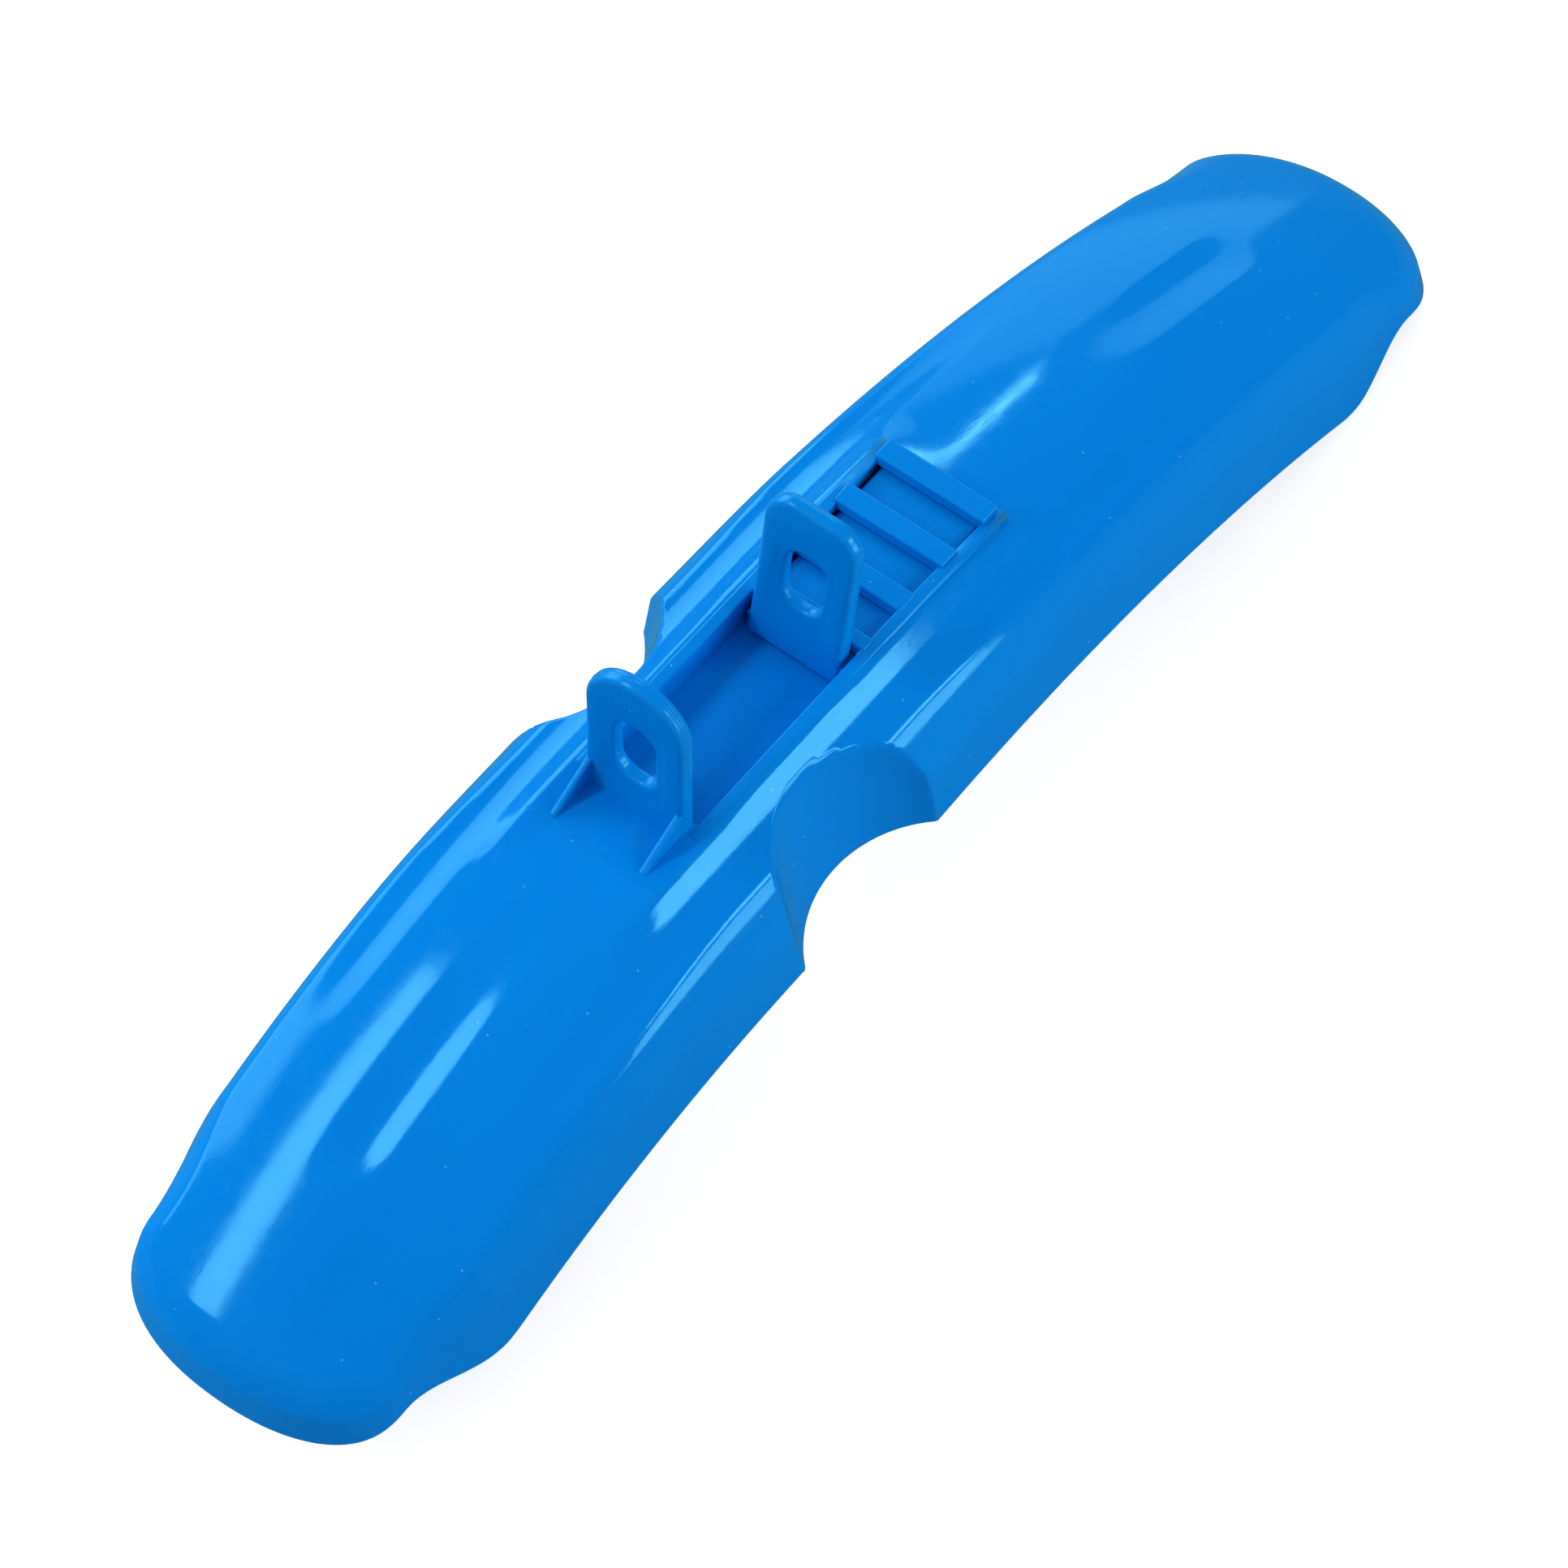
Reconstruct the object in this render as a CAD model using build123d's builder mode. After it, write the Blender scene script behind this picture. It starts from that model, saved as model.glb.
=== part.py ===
"""Front mudguard of a small bicycle: an arched one-piece shell with a fixed lug, and a sliding lug.

The two lugs stand either side of the fork crown, and a bolt through their slots clamps them to it.
+X points forward, +Y to the rider's left and +Z up. The origin lies on the fork's steering axis and
on the symmetry plane, level with the flat seat that the fixed lug stands on. Millimetres.
"""

import os
from math import asin, degrees, sqrt

from build123d import *

# Arch: a level seat under the fork crown, then one arc forward and one arc to the rear
seat_front = 20.5
seat_rear = -20.0
front_radius = 180.0
rear_radius = 315.0
front_tip = 125.0
rear_tip = -184.0

# Cross-section: a raised spine, a valley, a shoulder and a drafted skirt
wall = 2.4
spine_half_width = 14.5
spine_rounding = 3.0
valley_half_width = 19.0
valley_drop = 3.4
valley_rounding = 5.0
shoulder_half_width = 25.6
shoulder_drop = 5.0
shoulder_rounding = 6.0
rim_half_width = 30.4
skirt_depth = 26.0

# Rounded tongues at the two ends, as seen from above
front_tongue_half_width = 26.0
front_tongue_length = 16.0
front_tip_radius = 32.0
rear_tongue_half_width = 22.8
rear_tongue_length = 17.5
rear_tip_radius = 26.0
tongue_draw = 1.2
tip_rounding = 9.0

# Plan outline between the tongues: full width, easing to a narrower rear end
front_shoulder = 88.0
rear_shoulder = -153.5
rear_half_width = 27.2
rear_ease_start = -10.0
plan_margin = 0.4
neck_rounding = 12.0

# The skirt's lower rim climbs to the tongues, whose own rims hang this far below the crown
front_tongue_depth = 11.0
rear_tongue_depth = 7.0
rim_climb = 26.0

# Scoops that clear the two fork legs: cones that widen downwards, given by two level circles
scoop_top = 2.0
scoop_top_radius = 17.9
scoop_top_reach = 15.2
scoop_top_x = -0.8
scoop_foot = -34.0
scoop_foot_radius = 29.6
scoop_foot_reach = 24.7
scoop_foot_x = -4.9
scoop_slant = 1.06

# Channel for the sliding lug, crossed by keeper bars
channel_width = 21.0
channel_depth = 7.0
channel_wall = 2.2
channel_floor = 2.0
ledge_fall_start = -40.0
ledge_fall = 1.2
bar_count = 4
bar_width = 4.6
first_bar_width = 3.2
bar_length = 21.8
bar_height = 2.0
bar_pitch = 11.05
first_bar_rear = -28.4

# Lugs
lug_thickness = 3.2
lug_edge_rounding = 1.0
slot_width = 8.0
slot_corner = 3.4
fixed_lug_face = 16.6
fixed_lug_width = 19.4
fixed_lug_height = 32.0
fixed_lug_corner = 9.2
fixed_lug_root = 2.0
fixed_slot_height = 14.4
fixed_slot_centre = 13.8
sliding_lug_face = -21.6
sliding_lug_lean = 8.0
sliding_lug_width = 18.2
sliding_lug_height = 27.5
sliding_lug_corner = 5.4
sliding_lug_root = 2.5
sliding_slot_height = 12.4
sliding_slot_centre = 11.4

# Gussets in front of the fixed lug
gusset_thickness = 1.2
gusset_length = 9.4
gusset_height = 5.2
gusset_toe = 0.3
gusset_spacing = 17.6

# Tongue of the sliding lug: a plate under the bars on two side rails
running_gap = 0.4
tongue_width = 19.2
tongue_plate = 2.4
tongue_rail = 2.0

# Derived
trough_rear = first_bar_rear - (bar_count - 1) * bar_pitch
channel_rear = trough_rear + channel_wall
skirt_draft = (rim_half_width - shoulder_half_width) / (skirt_depth - shoulder_drop)
tall = 200.0


def crown_height(x):
    """Height of the crown line at x: level on the seat, then falling along an arc each way."""
    if x > seat_front:
        return sqrt(front_radius**2 - (x - seat_front) ** 2) - front_radius
    if x < seat_rear:
        return sqrt(rear_radius**2 - (seat_rear - x) ** 2) - rear_radius
    return 0.0


def cross_section(plane, inset):
    """Section of the solid under the arch on a plane, shrunk all round by inset."""
    depth = skirt_depth + 4 * inset
    with BuildSketch(plane) as section:
        with BuildLine():
            Polyline(
                (0, 0),
                (spine_half_width, 0),
                (valley_half_width, -valley_drop),
                (shoulder_half_width, -shoulder_drop),
                (shoulder_half_width + skirt_draft * (depth - shoulder_drop), -depth),
                (0, -depth),
                close=True,
            )
        make_face()
        corners = [v for v in section.vertices() if v.X > 1 and v.Y > -depth / 2]
        spine, valley, shoulder = sorted(corners, key=lambda v: v.X)
        fillet(spine, spine_rounding)
        fillet(valley, valley_rounding)
        fillet(shoulder, shoulder_rounding)
        mirror(about=Plane.YZ)
        if inset:
            offset(amount=-inset)
    return section.sketch


def tip_corner(tip, tip_radius, half_width):
    """Point where the round tip meets the tongue's side, half_width from the middle."""
    towards = 1 if tip > 0 else -1
    centre = tip - towards * tip_radius
    return (centre + towards * sqrt(tip_radius**2 - half_width**2), half_width)


def plan_outline(inset):
    """Outline seen from above: a long body, drawn in at a neck to a rounded tongue at each end."""
    wide = rim_half_width + plan_margin
    front_neck = front_tip - front_tongue_length
    rear_neck = rear_tip + rear_tongue_length
    front_corner = tip_corner(front_tip, front_tip_radius, front_tongue_half_width - tongue_draw)
    rear_corner = tip_corner(rear_tip, rear_tip_radius, rear_tongue_half_width - tongue_draw)
    with BuildSketch(Plane.XY.offset(-tall)) as outline:
        with BuildLine():
            RadiusArc((rear_tip, 0), rear_corner, rear_tip_radius)
            Polyline(
                rear_corner,
                (rear_neck, rear_tongue_half_width),
                (rear_shoulder, rear_half_width),
                (rear_ease_start, wide),
                (front_shoulder, wide),
                (front_neck, front_tongue_half_width),
                front_corner,
            )
            RadiusArc(front_corner, (front_tip, 0), front_tip_radius)
            Line((front_tip, 0), (rear_tip, 0))
        make_face()
        bends = outline.vertices().filter_by(lambda v: v.Y > 1)
        fillet(bends.filter_by(lambda v: not rear_neck - 1 < v.X < front_neck + 1), tip_rounding)
        bends = outline.vertices().filter_by(lambda v: v.Y > 1)
        fillet(bends.filter_by(lambda v: rear_neck - 1 < v.X < front_neck + 1), neck_rounding)
        mirror(about=Plane.XZ)
        if inset:
            offset(amount=-inset)
    return outline.sketch


def arched_solid(inset):
    """Solid hump under the arch with rounded ends, shrunk all round by inset."""
    front_angle = degrees(asin((front_tip - seat_front) / front_radius)) + 6
    rear_angle = degrees(asin((seat_rear - rear_tip) / rear_radius)) + 6
    rear_section = cross_section(Plane.YZ.offset(seat_rear), inset)
    front_section = cross_section(Plane.YZ.offset(seat_front), inset)
    with BuildPart() as hump:
        extrude(rear_section, amount=seat_front - seat_rear, dir=(1, 0, 0))
        revolve(
            front_section,
            axis=Axis((seat_front, 0, -front_radius), (0, 1, 0)),
            revolution_arc=front_angle,
        )
        revolve(
            rear_section,
            axis=Axis((seat_rear, 0, -rear_radius), (0, -1, 0)),
            revolution_arc=rear_angle,
        )
        extrude(plan_outline(inset), amount=2 * tall, dir=(0, 0, 1), mode=Mode.INTERSECT)
    return hump.part


def crown_slope(x, towards):
    """Direction of the crown line at x in the side view, pointing forward (1) or to the rear (-1)."""
    rise = crown_height(x + towards) - crown_height(x)
    return (towards, rise)


def rim_height(x):
    """Height of the skirt's lower rim at x, a constant depth inside the crown line."""
    if x > seat_front:
        inner_radius = front_radius - skirt_depth
        return sqrt(inner_radius**2 - (x - seat_front) ** 2) - front_radius
    inner_radius = rear_radius - skirt_depth
    return sqrt(inner_radius**2 - (seat_rear - x) ** 2) - rear_radius


def rim_cutter(tip, tongue_length, depth):
    """Side-view tool that lifts the skirt's lower rim to a tongue whose own rim hangs depth down."""
    towards = 1 if tip > 0 else -1
    level = tip - towards * tongue_length
    start = level - towards * rim_climb
    beyond = tip + towards * 8
    middle = (level + beyond) / 2
    with BuildPart() as cutter:
        with BuildSketch(Plane.XZ):
            with BuildLine():
                Spline(
                    (start, rim_height(start)),
                    (level, crown_height(level) - depth),
                    tangents=[crown_slope(start, towards), crown_slope(level, towards)],
                )
                ThreePointArc(
                    (level, crown_height(level) - depth),
                    (middle, crown_height(middle) - depth),
                    (beyond, crown_height(beyond) - depth),
                )
                Polyline(
                    (beyond, crown_height(beyond) - depth),
                    (beyond, -tall),
                    (start, -tall),
                    (start, rim_height(start)),
                )
            make_face()
        extrude(amount=rim_half_width + 5, both=True)
    return cutter.part


def leg_scoop(side, grow):
    """Slanting cone that clears the fork leg on one side, grown by grow."""
    top_centre = side * (scoop_top_reach + scoop_top_radius)
    foot_centre = side * (scoop_foot_reach + scoop_foot_radius)
    with BuildPart() as scoop:
        with BuildSketch(Plane.XY.offset(scoop_top)):
            with Locations((scoop_top_x, top_centre)):
                Circle(scoop_top_radius + grow)
        with BuildSketch(Plane.XY.offset(scoop_foot)):
            with Locations((scoop_foot_x, foot_centre)):
                Circle(scoop_foot_radius + grow)
        loft(ruled=True)
    return scoop.part


def lug_blade(plane, width, height, corner, slot_centre, slot_height, foot):
    """Upright lug whose face lies on plane, reaching foot below it, with a round-cornered bolt slot."""
    with BuildPart() as blade:
        with BuildSketch(plane) as face:
            with Locations((0, (height - foot) / 2)):
                Rectangle(width, height + foot)
            fillet(face.vertices().group_by(Axis.Y)[-1], corner)
            with Locations((0, slot_centre)):
                RectangleRounded(slot_width, slot_height, slot_corner, mode=Mode.SUBTRACT)
        extrude(amount=lug_thickness)
        through = Axis(plane.origin, plane.z_dir)
        faces = blade.faces().sort_by(through)
        fillet([*faces[0].edges(), *faces[-1].edges()], lug_edge_rounding)
    return blade.part


# Guard shell: one moulding with the arch, rims, scoops, channel, keeper bars, fixed lug and gussets

arch = arched_solid(0)
hollow = arched_solid(wall)
for side in (-1, 1):
    hollow -= leg_scoop(side, wall * scoop_slant)

channel_length = fixed_lug_face - channel_rear
channel_centre = (fixed_lug_face + channel_rear) / 2
trough_width = channel_width + 2 * channel_wall
trough_depth = channel_depth + channel_floor

# The trough's ledges are level beside the lugs and fall away a little beside the rear bars
with BuildPart() as trough:
    with BuildSketch(Plane.XZ):
        Polygon(
            (fixed_lug_face + channel_wall, 0),
            (ledge_fall_start, 0),
            (trough_rear, -ledge_fall),
            (trough_rear, -trough_depth),
            (fixed_lug_face + channel_wall, -trough_depth),
            align=None,
        )
    extrude(amount=trough_width / 2, both=True)

with BuildPart() as guard_shell:
    add(arch)
    add(rim_cutter(front_tip, front_tongue_length, front_tongue_depth), mode=Mode.SUBTRACT)
    add(rim_cutter(rear_tip, rear_tongue_length, rear_tongue_depth), mode=Mode.SUBTRACT)
    for side in (-1, 1):
        add(leg_scoop(side, 0), mode=Mode.SUBTRACT)
    add(hollow, mode=Mode.SUBTRACT)

    # Channel in its trough
    add(trough.part)
    with BuildSketch(Plane.XY):
        with Locations((channel_centre, 0)):
            Rectangle(channel_length, channel_width)
    extrude(amount=-channel_depth, mode=Mode.SUBTRACT)

    # Keeper bars, all level: the last one stands proud of the falling ledges and closes the channel
    with BuildSketch(Plane.XY):
        for number in range(bar_count):
            width = bar_width if number else first_bar_width
            with Locations((first_bar_rear - number * bar_pitch + width / 2, 0)):
                Rectangle(width, bar_length)
    extrude(amount=-bar_height)

    # Fixed lug
    add(
        lug_blade(
            Plane.YZ.offset(fixed_lug_face),
            fixed_lug_width,
            fixed_lug_height,
            fixed_lug_corner,
            fixed_slot_centre,
            fixed_slot_height,
            fixed_lug_root,
        )
    )

    # Gussets that brace it from the front
    gusset_back = fixed_lug_face + lug_thickness / 2
    gusset_front = fixed_lug_face + lug_thickness + gusset_length
    for side in (-1, 1):
        with BuildSketch(Plane.XZ.offset(-side * gusset_spacing / 2)):
            Polygon(
                (gusset_back, -fixed_lug_root),
                (gusset_front, -fixed_lug_root),
                (gusset_front, crown_height(gusset_front) + gusset_toe),
                (fixed_lug_face + lug_thickness, gusset_height),
                (gusset_back, gusset_height),
                align=None,
            )
        extrude(amount=gusset_thickness / 2, both=True)


# Sliding lug: a leaning blade on a plate whose two side rails run in the channel

plate_top = -bar_height - running_gap
plate_rear = channel_rear + running_gap
plate_front = sliding_lug_face
rail_foot = -channel_depth + running_gap
plate_centre = (plate_rear + plate_front) / 2
plate_length = plate_front - plate_rear
backwards = Vector(-1, 0, 0).rotate(Axis.Y, -sliding_lug_lean)

with BuildPart() as sliding_lug:
    with BuildSketch(Plane.XY.offset(plate_top)):
        with Locations((plate_centre, 0)):
            Rectangle(plate_length, tongue_width)
    extrude(amount=-tongue_plate)
    with BuildSketch(Plane.XY.offset(rail_foot)):
        for side in (-1, 1):
            with Locations((plate_centre, side * (tongue_width - tongue_rail) / 2)):
                Rectangle(plate_length, tongue_rail)
    extrude(amount=plate_top - rail_foot)
    add(
        lug_blade(
            Plane((sliding_lug_face, 0, 0), x_dir=(0, -1, 0), z_dir=backwards),
            sliding_lug_width,
            sliding_lug_height,
            sliding_lug_corner,
            sliding_slot_centre,
            sliding_slot_height,
            channel_depth + sliding_lug_root,
        )
    )
    split(bisect_by=Plane.XY.offset(rail_foot), keep=Keep.TOP)


os.makedirs("parts", exist_ok=True)
guard_shell.part.label = "guard_shell"
export_step(guard_shell.part, "parts/guard_shell.step")
sliding_lug.part.label = "sliding_lug"
export_step(sliding_lug.part, "parts/sliding_lug.step")
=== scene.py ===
"""Looks of a small bicycle's front mudguard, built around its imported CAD.

The guard is one glossy moulding: a ribbed skin with scoops for the fork legs, a channel crossed by
keeper bars, a fixed lug and its gussets. The sliding lug is a second moulding that runs in the channel.
Lengths are millimetres until a mesh is made, and meshes are in metres in the CAD's frame.
"""

import math

import bmesh
import bpy
import numpy as np
from mathutils import Matrix, Vector


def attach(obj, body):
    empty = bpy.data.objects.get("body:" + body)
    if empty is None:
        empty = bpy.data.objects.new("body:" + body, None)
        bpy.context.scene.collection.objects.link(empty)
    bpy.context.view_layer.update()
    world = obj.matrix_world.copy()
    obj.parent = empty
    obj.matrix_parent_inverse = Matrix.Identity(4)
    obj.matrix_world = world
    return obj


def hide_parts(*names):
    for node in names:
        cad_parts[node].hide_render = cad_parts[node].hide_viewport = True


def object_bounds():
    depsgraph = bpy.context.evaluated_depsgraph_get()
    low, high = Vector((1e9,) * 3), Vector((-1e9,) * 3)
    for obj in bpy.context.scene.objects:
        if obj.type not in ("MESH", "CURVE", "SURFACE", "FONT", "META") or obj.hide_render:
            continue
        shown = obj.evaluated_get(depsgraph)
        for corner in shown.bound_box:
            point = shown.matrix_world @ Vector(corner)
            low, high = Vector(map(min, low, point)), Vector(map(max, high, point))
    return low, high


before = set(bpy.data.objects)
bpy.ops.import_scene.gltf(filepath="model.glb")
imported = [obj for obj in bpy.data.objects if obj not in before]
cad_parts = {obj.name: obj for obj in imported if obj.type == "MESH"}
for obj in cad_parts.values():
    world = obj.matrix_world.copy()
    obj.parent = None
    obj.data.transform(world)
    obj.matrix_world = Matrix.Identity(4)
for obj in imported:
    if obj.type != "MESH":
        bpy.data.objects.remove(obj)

size_at_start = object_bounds()

MM = 0.001

# ---------------------------------------------------------------- sizes

# Crown line: a level seat under the fork crown, then one arc forward and one arc to the rear
SEAT_FRONT = 20.5
SEAT_REAR = -20.0
FRONT_RADIUS = 180.0
REAR_RADIUS = 315.0

WALL = 2.4

# Outline of the rim from above: two half-widths, then a rounded tongue at each end
HALF_WIDTH = 30.3
REAR_HALF_WIDTH = 27.2
REAR_EASE_START = -10.0
REAR_EASE_END = -153.0
FRONT_TIP = 124.9
FRONT_NECK = 110.0
FRONT_TONGUE = 26.0
FRONT_TAPER = 21.0
FRONT_POWER = 2.1
REAR_TIP = -183.9
REAR_NECK = -166.0
REAR_TONGUE = 24.5
REAR_TAPER = 20.0
REAR_POWER = 2.2

# Depths of the rim and of the crease above its side band, below the crown line
RIM_DEPTH = 25.7
CREASE_DEPTH = 14.0
BAND_LEAN = 1.9
TIP_BAND_LEAN = 1.2
SHOULDER_FALL = 3.0
FRONT_BAND = 4.6
REAR_BAND = 4.0
TIP_CREASE_DEPTH = 2.0
TIP_SHOULDER_FALL = 0.9
RIM_CLIMB = 24.0

# How widely the skin's surfaces are blended where they meet; the shoulder is softer beside the scoops
SHOULDER_SOFTNESS = 5.0
SCOOP_SOFTENING = 6.0
SCOOP_SOFT_SPAN = (20.0, 52.0)
TIP_SHARPENING = 2.6
CREASE_SOFTNESS = 0.5
SCOOP_EDGE_SOFTNESS = 2.2

# Raised and sunk forms of the top: a level pad round the channel, flutes beside it, grooves along the middle
CROSS_RADIUS = 58.0
PAD_HALF_WIDTH = 12.9
PAD_EDGE_SLOPE = 0.67
PAD_EDGE_ROUNDING = 0.35
PAD_FADE = 16.0
PAD_REAR_LAP = 3.0
PAD_REAR_FADE = 12.0
PAD_FRONT = 30.0
PAD_LINE_REACH = 13.2
PAD_LINE_WIDTH = 0.3
PAD_LINE_HEIGHT = 0.1
FLUTE_CENTRE = 19.5
FLUTE_HALF_WIDTH = 4.2
FLUTE_DEPTH = 0.55
FLUTE_FADE = 22.0
FLUTE_SPAN = (-86.0, 58.0)
GROOVE_HALF_WIDTH = 6.2
GROOVE_DEPTH = 0.9
GROOVE_FADE = 12.0
FRONT_GROOVE_SPAN = (24.0, 85.0)
FRONT_GROOVE_RISE = (30.0, 75.0)
REAR_GROOVE_SPAN = (-138.0, -60.0)
REAR_GROOVE_RISE = (-128.0, -88.0)

# Scoops for the fork legs: cones that widen downwards, given by two level circles
SCOOP_TOP = 2.0
SCOOP_TOP_RADIUS = 21.4
SCOOP_TOP_REACH = 15.2
SCOOP_TOP_X = -1.0
SCOOP_FOOT = -34.0
SCOOP_FOOT_RADIUS = 24.7
SCOOP_FOOT_REACH = 24.7
SCOOP_FOOT_X = -4.0

# A height above the whole skin
CLEAR_ABOVE = 20.0

# Distances to the outline are only worked out this near to it, from beside and from a neck; deeper
# inside than that they are taken as one large value
NEAR_SIDE = 9.0
NEAR_NECK = 14.0
DEEP_INSIDE = 40.0

# Channel, keeper bars and the tongue that runs under them
CHANNEL_HALF_WIDTH = 10.5
CHANNEL_DEPTH = 7.0
CHANNEL_FLOOR = 2.0
CHANNEL_FRONT = 16.6
LEDGE_WIDTH = 2.2
LEDGE_TOP = 0.12
LEDGE_FALL_START = -40.0
LEDGE_FALL = 1.2
LIP = 0.3
BAR_COUNT = 4
BAR_WIDTH = 4.6
FIRST_BAR_WIDTH = 3.2
BAR_HALF_LENGTH = 10.9
BAR_TOP = 0.25
BAR_HEIGHT = 2.0
BAR_PITCH = 11.05
FIRST_BAR_REAR = -28.4
TROUGH_REAR = FIRST_BAR_REAR - (BAR_COUNT - 1) * BAR_PITCH
CHANNEL_REAR = TROUGH_REAR + LEDGE_WIDTH
TROUGH_FRONT = CHANNEL_FRONT + LEDGE_WIDTH
RUNNING_GAP = 0.4
TONGUE_HALF_WIDTH = 9.6
TONGUE_PLATE = 2.4
TONGUE_RAIL = 2.0

# Lugs
LUG_THICKNESS = 3.2
LUG_ROUNDING = 1.0
SLOT_HALF_WIDTH = 4.0
SLOT_CORNER = 3.4
SLOT_ROUNDING = 0.7
DISH_DEPTH = 0.28
MOULD_LINE_HEIGHT = 0.1
MOULD_LINE_REACH = 0.15
FOOT_FLARE = 0.6
FOOT_FLARE_HEIGHT = 1.0
FIXED_LUG_FACE = 16.6
SLIDING_LUG_FACE = -21.6
SLIDING_LEAN = math.radians(8)
FIXED_LUG = {
    "side": 9.6,
    "foot": -1.8,
    "height": 31.8,
    "corner": 9.2,
    "slot_centre": 13.8,
    "slot_height": 14.4,
}
SLIDING_LUG = {
    "side": 9.0,
    "foot": -6.5,
    "height": 27.4,
    "corner": 5.4,
    "slot_centre": 11.4,
    "slot_height": 12.4,
}

# Gussets
GUSSET_THICKNESS = 1.2
GUSSET_LENGTH = 9.4
GUSSET_HEIGHT = 5.2
GUSSET_SPACING = 17.6


# ---------------------------------------------------------------- shape of the skin


def smoothstep(low, high, value):
    share = np.clip((value - low) / (high - low), 0, 1)
    return share * share * (3 - 2 * share)


def smooth_min(first, second, width):
    """Smaller of two surfaces, with the corner between them rounded over width."""
    share = np.clip(0.5 + 0.5 * (second - first) / width, 0, 1)
    return second * (1 - share) + first * share - width * share * (1 - share)


def crown(x):
    """Height of the crown line."""
    ahead = np.maximum(x - SEAT_FRONT, 0)
    behind = np.maximum(SEAT_REAR - x, 0)
    front = np.sqrt(FRONT_RADIUS**2 - ahead**2) - FRONT_RADIUS
    rear = np.sqrt(REAR_RADIUS**2 - behind**2) - REAR_RADIUS
    return front + rear


def half_width(x):
    """Half-width of the rim outline, leaving the scoops out."""
    ease = np.clip((REAR_EASE_START - x) / (REAR_EASE_START - REAR_EASE_END), 0, 1)
    width = HALF_WIDTH + (REAR_HALF_WIDTH - HALF_WIDTH) * ease
    to_front = smoothstep(FRONT_NECK - FRONT_TAPER, FRONT_NECK, x)
    to_rear = smoothstep(-REAR_NECK - REAR_TAPER, -REAR_NECK, -x)
    width = width + (FRONT_TONGUE - width) * to_front + (REAR_TONGUE - width) * to_rear
    front = np.clip((x - FRONT_NECK) / (FRONT_TIP - FRONT_NECK), 0, 1)
    rear = np.clip((REAR_NECK - x) / (REAR_NECK - REAR_TIP), 0, 1)
    width = width * (1 - front**FRONT_POWER) ** (1 / FRONT_POWER)
    return width * (1 - rear**REAR_POWER) ** (1 / REAR_POWER)


def towards_tips(x):
    """0 along the body, rising to 1 on each tongue: (front share, rear share)."""
    front = smoothstep(FRONT_NECK - RIM_CLIMB, FRONT_NECK + 4, x)
    rear = smoothstep(-REAR_NECK - RIM_CLIMB, -REAR_NECK + 4, -x)
    return front, rear


def crease_depth(x, y):
    """Depth below the crown line of the crease above the side band."""
    front, rear = towards_tips(x)
    return CREASE_DEPTH + (TIP_CREASE_DEPTH + y**2 / (2 * CROSS_RADIUS) - CREASE_DEPTH) * (front + rear)


def rim_depth(x, y):
    """Depth below the crown line of the skirt's lower rim."""
    front, rear = towards_tips(x)
    body = RIM_DEPTH - CREASE_DEPTH
    band = body + (FRONT_BAND - body) * front + (REAR_BAND - body) * rear
    return crease_depth(x, y) + band


def scoop_circle(z):
    """Centre and radius of the left scoop's level circle at height z: (x, y, radius)."""
    share = (SCOOP_TOP - z) / (SCOOP_TOP - SCOOP_FOOT)
    radius = SCOOP_TOP_RADIUS + (SCOOP_FOOT_RADIUS - SCOOP_TOP_RADIUS) * share
    reach = SCOOP_TOP_REACH + (SCOOP_FOOT_REACH - SCOOP_TOP_REACH) * share
    return SCOOP_TOP_X + (SCOOP_FOOT_X - SCOOP_TOP_X) * share, reach + radius, radius


def scoop_height(x, y):
    """Height at which the scoop's slanting cone starts above the point (x, y)."""
    x0, y0, radius0 = scoop_circle(0.0)
    x1, y1, radius1 = scoop_circle(1.0)
    slope_x, slope_y, slope_radius = x1 - x0, y1 - y0, radius1 - radius0
    off_x, off_y = x - x0, np.abs(y) - y0
    square = slope_x**2 + slope_y**2 - slope_radius**2
    linear = -2 * (slope_x * off_x + slope_y * off_y + slope_radius * radius0)
    constant = off_x**2 + off_y**2 - radius0**2
    inside_root = linear**2 - 4 * square * constant
    height = (-linear - np.sqrt(np.maximum(inside_root, 0))) / (2 * square)
    return np.where(inside_root > 0, height, CLEAR_ABOVE)


def rim_half_width(x):
    """Half-width of the rim outline with the scoops taken out of it."""
    width = half_width(x)
    centre_x, centre_y, radius = scoop_circle(crown(x) - rim_depth(x, width))
    behind_leg = np.sqrt(np.maximum(radius**2 - (x - centre_x) ** 2, 0))
    scooped = np.where(np.abs(x - centre_x) < radius, centre_y - behind_leg, width)
    return np.minimum(width, scooped)


def sunk(x, y, span, centre, reach, fade):
    """1 along a groove between the ends of its span, easing to 0 past them (fade) and beside it (reach)."""
    rear_end, front_end = span
    along = np.maximum(np.maximum(x - front_end, rear_end - x), 0)
    across = np.clip(np.abs(y - centre) / reach, 0, 1)
    return (1 - across**2) ** 2 * (1 - smoothstep(0, fade, along))


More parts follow.
